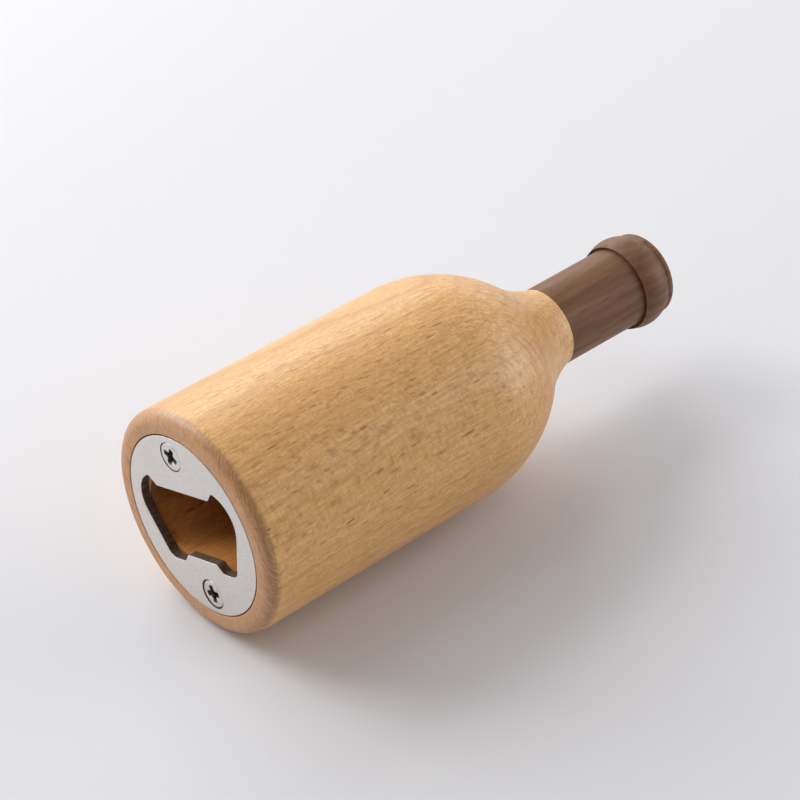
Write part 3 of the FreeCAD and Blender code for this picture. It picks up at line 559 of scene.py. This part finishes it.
# ------------------------------------------------------------------ walnut neck
neck = Shape()
profile = join(
    [(4.4, 81.35), (5.0, 81.95)],
    line(5.0, 81.95, 5.0, 97.2, 8),
    [(5.1, 97.35), (7.0, 97.35), (9.04, 97.35), (9.1, 97.41)],
    line(9.1, 97.41, 9.168, 119.0, 16),
    [(9.172, 119.50), (9.20, 119.74), (9.30, 119.86), (9.45, 119.88), (9.60, 119.82), (9.70, 119.66), (9.75, 119.44), (9.78, 119.28)],
    arc(9.84, 119.28, 0.06, PI, 1.9 * PI, 5),
    arc(3.34, 122.6, 7.26, -0.44, 0.565, 30),
    arc(9.62, 126.56, 0.16, PI + 0.6, 0.75 * PI + 0.3, 3),
    arc(8.32, 127.2, 1.3, -0.30, PI / 2, 18),
    line(8.32, 128.5, 0.9, 128.5, 6),
)
rows = neck.loft(turned(profile, 240))
neck.fan(rows[0], (0, 81.35, 0))
neck.fan(rows[-1], (0, 128.5, 0))
neck_piece = piece("turned_walnut_neck", neck, [oiled_walnut], "walnut_neck", 38)

# ------------------------------------------------------------------ opener plate
half = join(
    line(0.0, 7.45, 8.6358, 7.45, 14),
    arc(8.6358, 8.45, 1.0, 1.5 * PI, 1.75 * PI, 8),
    line(9.3429, 7.7429, 10.6419, 9.0419, 3),
    arc(11.2783, 8.4055, 0.9, 0.75 * PI, 1.2698, 9),
    arc(9.6, 3.0, 6.56, 1.2697, -0.4023, 34),
    line(15.6363, 0.4315, 12.1473, -7.768, 12),
    arc(9.7549, -6.75, 2.6, -0.4023, -PI / 2, 16),
    line(9.7549, -9.35, 6.8795, -9.35, 4),
    arc(6.8795, -9.05, 0.3, 1.5 * PI, 3.8976, 4),
    line(6.6612, -9.2558, 5.3664, -7.8826, 3),
    arc(4.7116, -8.5, 0.9, 0.756, PI / 2, 7),
    line(4.7116, -7.6, 0.0, -7.6, 8),
)
cut = half + [(-h, w) for h, w in reversed(half[1:-1])]
NP = 300
plate = Shape()
B = 0.06


def cut_loop(d):
    return [plate_xz(h, w) for h, w in offset(cut, d)]


def hole_loop(hw, r):
    cx, cz = plate_xz(0, hw)
    return circle(cx, cz, r, 72)


plate.flat(circle(0, 0, 19.76, NP), [cut_loop(B)] + [hole_loop(15.45, 3.24), hole_loop(-15.45, 3.36)], 0.0, 0, grid=1.3)
plate.loft([[(x, s, z) for x, z in circle(0, 0, r, NP)] for r, s in [(19.76, 0.0), (19.83, 0.02), (19.90, 0.08), (19.93, 0.17)]], 0)
plate.loft([[(x, s, z) for x, z in circle(0, 0, 19.93, NP)] for s in (0.17, 1.0, 2.0)], 1)
edge = [(B * (1 - math.sin(a)), B * (1 - math.cos(a))) for a in [PI / 2 * i / 4 for i in range(5)]]
plate.loft([[(x, s, z) for x, z in cut_loop(d)] for d, s in edge], 0)
plate.loft([[(x, s, z) for x, z in cut_loop(0.0)] for s in (B, 0.5, 1.0, 1.5, 1.94)], 1)
plate.loft([[(x, s, z) for x, z in cut_loop(d)] for d, s in [(0.0, 1.94), (0.06, 2.0)]], 1)
for w, lip in ((15.45, 3.24), (-15.45, 3.36)):
    # countersink walls take the dark recess colours: painted shade in the gap round the screw heads
    sink = [(lip, 0.0), (lip - 0.03, 0.02), (lip - 0.05, 0.06), (1.78, 1.42), (1.7, 1.52), (1.7, 2.0)]
    plate.loft([[(x, s, z) for x, z in hole_loop(w, r)] for r, s in sink], 2)
plate.flat(circle(0, 0, 19.93, NP), [cut_loop(0.06)] + [hole_loop(w, 1.7) for w in (15.45, -15.45)], 2.0, 1, grid=1.8)
plate_piece = piece("cap_lifter_plate", plate, [stainless, sheared, recess], "opener_plate", 30)


# ------------------------------------------------------------------ screws
def cross(hl, hw, ri, ro, n=4):
    """Clockwise outline of the driver recess with rounded corners."""
    c = [(hw, hl), (hw, hw), (hl, hw), (hl, -hw), (hw, -hw), (hw, -hl), (-hw, -hl), (-hw, -hw), (-hl, -hw), (-hl, hw), (-hw, hw), (-hw, hl)]
    out = []
    for i, p in enumerate(c):
        a, b = Vector(c[i - 1]), Vector(c[(i + 1) % len(c)])
        p = Vector(p)
        r = ri if i % 3 == 1 else ro
        u, v = (a - p).normalized(), (b - p).normalized()
        s, e = p + u * r, p + v * r
        m = p + (u + v) * r
        a0, a1 = math.atan2(*(s - m).yx), math.atan2(*(e - m).yx)
        while a1 - a0 > PI:
            a1 -= 2 * PI
        while a1 - a0 < -PI:
            a1 += 2 * PI
        out += arc(m.x, m.y, r, a0, a1, n)
    return out


def screw(hw, angle, top):
    sh = Shape()
    cx, cz = plate_xz(0, hw)
    ang = TURN + math.radians(angle)

    def turn(p):
        x, z = p
        return (cx + x * math.cos(ang) - z * math.sin(ang), cz + x * math.sin(ang) + z * math.cos(ang))

    def ring(r, s, n=72):
        return [(x, s, z) for x, z in circle(cx, cz, r, n)]

    mouth = [turn(p) for p in cross(1.98, 0.64, 0.40, 0.34)]
    sh.flat(circle(cx, cz, 2.78, 72), [mouth], top, 0, grid=0.42)
    sh.loft([ring(2.78, top), ring(2.89, top + 0.015), ring(2.98, top + 0.05), ring(3.03, top + 0.10), ring(3.04, top + 0.12)], 0)
    # the recess walls take the dark recess colours: painted shade inside the cross
    steps = [(1.98, 0.64, 0.40, 0.34, 0.0), (1.90, 0.57, 0.40, 0.32, 0.05), (1.85, 0.53, 0.40, 0.30, 0.13), (1.3, 0.40, 0.26, 0.20, 0.75), (0.78, 0.28, 0.14, 0.12, 1.45)]
    rows = sh.loft([[(x, top + d, z) for x, z in (turn(p) for p in cross(a, b, ri, ro))] for a, b, ri, ro, d in steps], 1)
    sh.fan(rows[-1], (cx, top + 1.62, cz), 1)
    sh.loft([ring(3.04, top + 0.12), ring(2.88, 0.31), ring(1.56, 1.62), ring(1.5, 1.8), ring(1.5, 3.55)], 0)
    # thread: a helical ridge standing on the core, fading into the point
    rows = []
    n, s0, s1, step = 72, 3.55, 15.9, 0.08
    count = int((s1 - s0) / step)
    for i in range(count + 1):
        s = s0 + (s1 - s0) * i / count
        core = 1.5 - 0.45 * min(1.0, max(0.0, (s - 3.6) / 0.6))
        tip = min(1.0, max(0.0, (16.0 - s) / 3.2))
        core *= tip ** 0.85
        fade = min(1.0, max(0.0, (s - 3.9) / 1.0)) * min(1.0, max(0.0, (15.9 - s) / 1.4))
        row = []
        for k in range(n):
            a = 2 * PI * k / n
            ph = ((s - 4.5) / 1.35 - a / (2 * PI)) % 1.0
            d = abs(ph - 0.5) * 1.35
            ridge = max(0.0, 1.0 - max(0.0, d - 0.05) / 0.30)
            r = core + 0.45 * ridge * fade * (0.45 + 0.55 * tip)
            r = min(r, 1.5)
            row.append((cx + r * math.cos(a), s, cz + r * math.sin(a)))
        rows.append(row)
    rows[0] = ring(1.5, 3.55)
    ids = sh.loft(rows, 0)
    sh.fan(ids[-1], (cx, 16.0, cz), 0)
    return sh


screws = []
for nm, hw, ang, top in (("plate_screw_upper", 15.45, -32.0, 0.03), ("plate_screw_lower", -15.45, 3.0, 0.10)):
    screws.append(piece(nm, screw(hw, ang, top), [screw_steel, recess], "plate_screws", 35))

# ------------------------------------------------------------------ floor
def rings(name, rows, material):
    """A surface of concentric rings of (radius, height) in metres about the row origin."""
    n = 96
    me = bpy.data.meshes.new(name)
    co = [(0.0, 0.0, rows[0][1])] + [(r * math.cos(2 * PI * k / n), r * math.sin(2 * PI * k / n), z) for r, z in rows for k in range(n)]
    faces = [(0, 1 + k, 1 + (k + 1) % n) for k in range(n)]
    for i in range(len(rows) - 1):
        a, b = 1 + i * n, 1 + (i + 1) * n
        faces += [(a + k, b + k, b + (k + 1) % n, a + (k + 1) % n) for k in range(n)]
    me.from_pydata(co, [], faces)
    me.materials.append(material)
    ob = bpy.data.objects.new(name, me)
    bpy.context.scene.collection.objects.link(ob)
    return ob


floor = rings("floor", [(0.1 * i, 0.0) for i in range(1, 13)], floor_paper())
glow = Tree("backdrop_glow")
emit = glow.node("ShaderNodeEmission", {"Color": (0.80, 0.79, 0.80, 1), "Strength": 1.0})
glow.nt.links.new(emit.outputs[0], glow.out.inputs[0])
backdrop = rings("backdrop", [(4.0 * math.sin(0.14 * i), 4.0 * math.cos(0.14 * i)) for i in range(1, 14)], glow.mat)
backdrop.visible_diffuse = backdrop.visible_glossy = backdrop.visible_transmission = backdrop.visible_shadow = False


# ------------------------------------------------------------------ light
def softbox(name, azimuth, elevation, distance, width, height, watts, colour):
    a, e = math.radians(azimuth), math.radians(elevation)
    d = Vector((math.cos(a) * math.cos(e), math.sin(a) * math.cos(e), math.sin(e)))
    light = bpy.data.lights.new(name, "AREA")
    light.shape = "RECTANGLE"
    light.size, light.size_y = width, height
    light.energy = watts
    light.color = colour
    ob = bpy.data.objects.new(name, light)
    ob.location = Vector((0, 0, 0.02)) + d * distance
    ob.rotation_mode = "QUATERNION"
    ob.rotation_quaternion = (-d).to_track_quat("-Z", "Y")
    ob.visible_camera = False
    bpy.context.scene.collection.objects.link(ob)
    return ob


# a broad bank of panels to the left and behind, open at the front right, with a low
# bounce from the back right and weak panels overhead
PANELS = [
    (165, 8, 0.47, (0.93, 0.93, 1.00)),
    (190, 8, 1.58, (0.97, 0.99, 1.00)),
    (150, 22, 1.95, (0.93, 0.95, 1.00)),
    (180, 22, 3.28, (0.97, 0.98, 1.00)),
    (210, 22, 3.90, (0.97, 0.99, 1.00)),
    (165, 42, 3.12, (0.94, 0.97, 1.00)),
    (210, 42, 5.35, (0.97, 0.99, 1.00)),
    (245, 48, 0.67, (0.93, 0.93, 1.00)),
    (190, 68, 1.27, (0.93, 0.94, 1.00)),
    (330, 60, 0.51, (1.00, 0.93, 0.93)),
    (15, 65, 0.45, (1.00, 0.93, 0.93)),
    (45, 30, 1.34, (1.00, 0.94, 0.93)),
    (75, 25, 1.65, (1.00, 0.97, 0.95)),
    (105, 15, 0.45, (0.99, 1.00, 0.99)),
    (125, 12, 0.96, (0.97, 0.99, 1.00)),
    (60, 8, 3.17, (1.00, 0.99, 0.97)),
]
for i, (azimuth, elevation, watts, tint) in enumerate(PANELS):
    softbox("panel_%02d" % i, azimuth, elevation, 1.25, 0.6, 0.42, watts, tint)
world = bpy.data.worlds.new("studio")
world.use_nodes = True
world.node_tree.nodes["Background"].inputs[0].default_value = (0.258, 0.259, 0.260, 1)
world.node_tree.nodes["Background"].inputs[1].default_value = 1.0
bpy.context.scene.world = world
bpy.context.scene.view_settings.view_transform = "Standard"

# ------------------------------------------------------------------ camera
cam = bpy.data.objects.new("camera", bpy.data.cameras.new("camera"))
cam.data.sensor_width = 36.0
cam.data.lens = 117.0
cam.data.clip_start = 0.01
right, up, back = Vector((0.66592, 0.74603, 0.0)), Vector((-0.46809, 0.41783, 0.77866)), Vector((0.58090, -0.51852, 0.62744))
turn = Matrix((right, up, back)).transposed()
cam.rotation_mode = "QUATERNION"
cam.rotation_quaternion = turn.to_quaternion()
cam.location = (0.31495, -0.29009, 0.36760)
bpy.context.scene.collection.objects.link(cam)
bpy.context.scene.camera = cam

bpy.context.view_layer.update()
